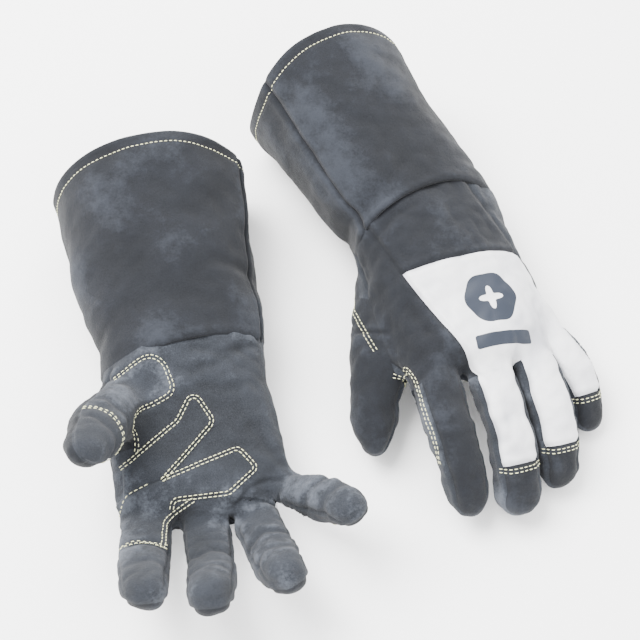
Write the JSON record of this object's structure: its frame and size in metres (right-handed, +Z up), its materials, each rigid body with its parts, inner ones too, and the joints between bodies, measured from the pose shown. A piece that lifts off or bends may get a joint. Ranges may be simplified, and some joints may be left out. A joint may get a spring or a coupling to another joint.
{
  "type": "welding gloves",
  "caption": "Pair of long-cuff suede welding gloves with white grain-leather backs, fleece-lined, laid one palm up and one palm down.",
  "frame": {"origin": "middle of the pair's bounding box, on the surface that the gloves lie on", "axes": "+Z up from that surface, -Y towards the fingertips, +X from the right-hand glove to the left-hand glove"},
  "size_m": [0.3288, 0.3682, 0.1198],
  "materials": {
    "suede_charcoal": "brushed split-leather suede, charcoal blue-grey",
    "suede_palm": "worn split-leather suede, a lighter blue-grey",
    "grain_pearl": "pearl-white grain leather, satin",
    "duck_lining": "unbleached cotton duck",
    "fleece_lining": "brushed cream fleece"
  },
  "bodies": {
    "hands": {"right_palm_panel": "suede_palm", "right_thumb_side_panel": "suede_charcoal", "right_wrist_back_panel": "suede_charcoal", "right_back_panel": "grain_pearl", "right_back_lining": "fleece_lining", "right_thumb_patch": "suede_palm", "right_index_patch": "suede_palm", "left_palm_panel": "suede_palm", "left_thumb_side_panel": "suede_charcoal", "left_wrist_back_panel": "suede_charcoal", "left_back_panel": "grain_pearl", "left_back_lining": "fleece_lining", "left_thumb_patch": "suede_palm", "left_index_patch": "suede_palm"},
    "right_thumb": {"right_thumb_back": "suede_charcoal", "right_thumb_front": "suede_palm", "right_thumb_tip_patch": "suede_palm"},
    "right_index": {"right_index_gusset": "suede_charcoal", "right_index_palm": "suede_palm", "right_index_back": "suede_charcoal"},
    "right_middle": {"right_middle_gusset": "suede_charcoal", "right_middle_palm": "suede_palm", "right_middle_back": "grain_pearl", "right_middle_cap": "suede_charcoal"},
    "right_ring": {"right_ring_gusset": "suede_charcoal", "right_ring_palm": "suede_palm", "right_ring_back": "grain_pearl", "right_ring_cap": "suede_charcoal"},
    "right_little": {"right_little_gusset": "suede_charcoal", "right_little_palm": "suede_palm", "right_little_back": "grain_pearl", "right_little_cap": "suede_charcoal"},
    "right_cuff": {"right_cuff_back": "suede_charcoal", "right_cuff_palm": "suede_charcoal", "right_cuff_lining": "duck_lining"},
    "left_thumb": {"left_thumb_back": "suede_charcoal", "left_thumb_front": "suede_palm", "left_thumb_tip_patch": "suede_palm"},
    "left_index": {"left_index_gusset": "suede_charcoal", "left_index_palm": "suede_palm", "left_index_back": "suede_charcoal"},
    "left_middle": {"left_middle_gusset": "suede_charcoal", "left_middle_palm": "suede_palm", "left_middle_back": "grain_pearl", "left_middle_cap": "suede_charcoal"},
    "left_ring": {"left_ring_gusset": "suede_charcoal", "left_ring_palm": "suede_palm", "left_ring_back": "grain_pearl", "left_ring_cap": "suede_charcoal"},
    "left_little": {"left_little_gusset": "suede_charcoal", "left_little_palm": "suede_palm", "left_little_back": "grain_pearl", "left_little_cap": "suede_charcoal"},
    "left_cuff": {"left_cuff_back": "suede_charcoal", "left_cuff_palm": "suede_charcoal", "left_cuff_lining": "duck_lining"}
  },
  "joints": [
    {"name": "right_cuff_bend", "type": "hinge", "parent": "hands", "child": "right_cuff", "pos_m": [-0.08321, -0.01887, 0.0323], "axis": [-0.9783, -0.2068, -0.0136], "range_deg": [-20, 20]},
    {"name": "left_cuff_bend", "type": "hinge", "parent": "hands", "child": "left_cuff", "pos_m": [0.05979, 0.06413, 0.0405], "axis": [0.8265, 0.5346, -0.1764], "range_deg": [-20, 20]},
    {"name": "right_index_bend", "type": "hinge", "parent": "hands", "child": "right_index", "pos_m": [-0.09975, -0.11389, 0.02057], "axis": [-0.9975, -0.0704, 0.0082], "range_deg": [-35, 20]},
    {"name": "right_middle_bend", "type": "hinge", "parent": "hands", "child": "right_middle", "pos_m": [-0.0672, -0.11641, 0.01667], "axis": [-0.9903, -0.139, -0.0027], "range_deg": [-35, 20]},
    {"name": "right_ring_bend", "type": "hinge", "parent": "hands", "child": "right_ring", "pos_m": [-0.03875, -0.1102, 0.01879], "axis": [-0.9276, -0.3714, -0.0405], "range_deg": [-35, 20]},
    {"name": "right_little_bend", "type": "hinge", "parent": "hands", "child": "right_little", "pos_m": [-0.01701, -0.09032, 0.02599], "axis": [-0.6571, -0.7465, -0.1047], "range_deg": [-30, 20]},
    {"name": "left_index_bend", "type": "hinge", "parent": "hands", "child": "left_index", "pos_m": [0.0601, -0.03289, 0.04579], "axis": [0.927, 0.3318, -0.1751], "range_deg": [-10, 40]},
    {"name": "left_middle_bend", "type": "hinge", "parent": "hands", "child": "left_middle", "pos_m": [0.09278, -0.03031, 0.04328], "axis": [0.9383, 0.2988, -0.1741], "range_deg": [-10, 45]},
    {"name": "left_ring_bend", "type": "hinge", "parent": "hands", "child": "left_ring", "pos_m": [0.11901, -0.0194, 0.0365], "axis": [0.9383, 0.2988, -0.1741], "range_deg": [-10, 45]},
    {"name": "left_little_bend", "type": "hinge", "parent": "hands", "child": "left_little", "pos_m": [0.1357, 0.0042, 0.02734], "axis": [0.9112, 0.3724, -0.1761], "range_deg": [-10, 45]},
    {"name": "right_thumb_bend", "type": "hinge", "parent": "hands", "child": "right_thumb", "pos_m": [-0.11154, -0.05074, 0.04404], "axis": [-0.5614, 0.6676, 0.4891], "range_deg": [-10, 15]},
    {"name": "left_thumb_bend", "type": "hinge", "parent": "hands", "child": "left_thumb", "pos_m": [0.0347, 0.02892, 0.03121], "axis": [0.9047, -0.1994, 0.3766], "range_deg": [-10, 15]}
  ]
}
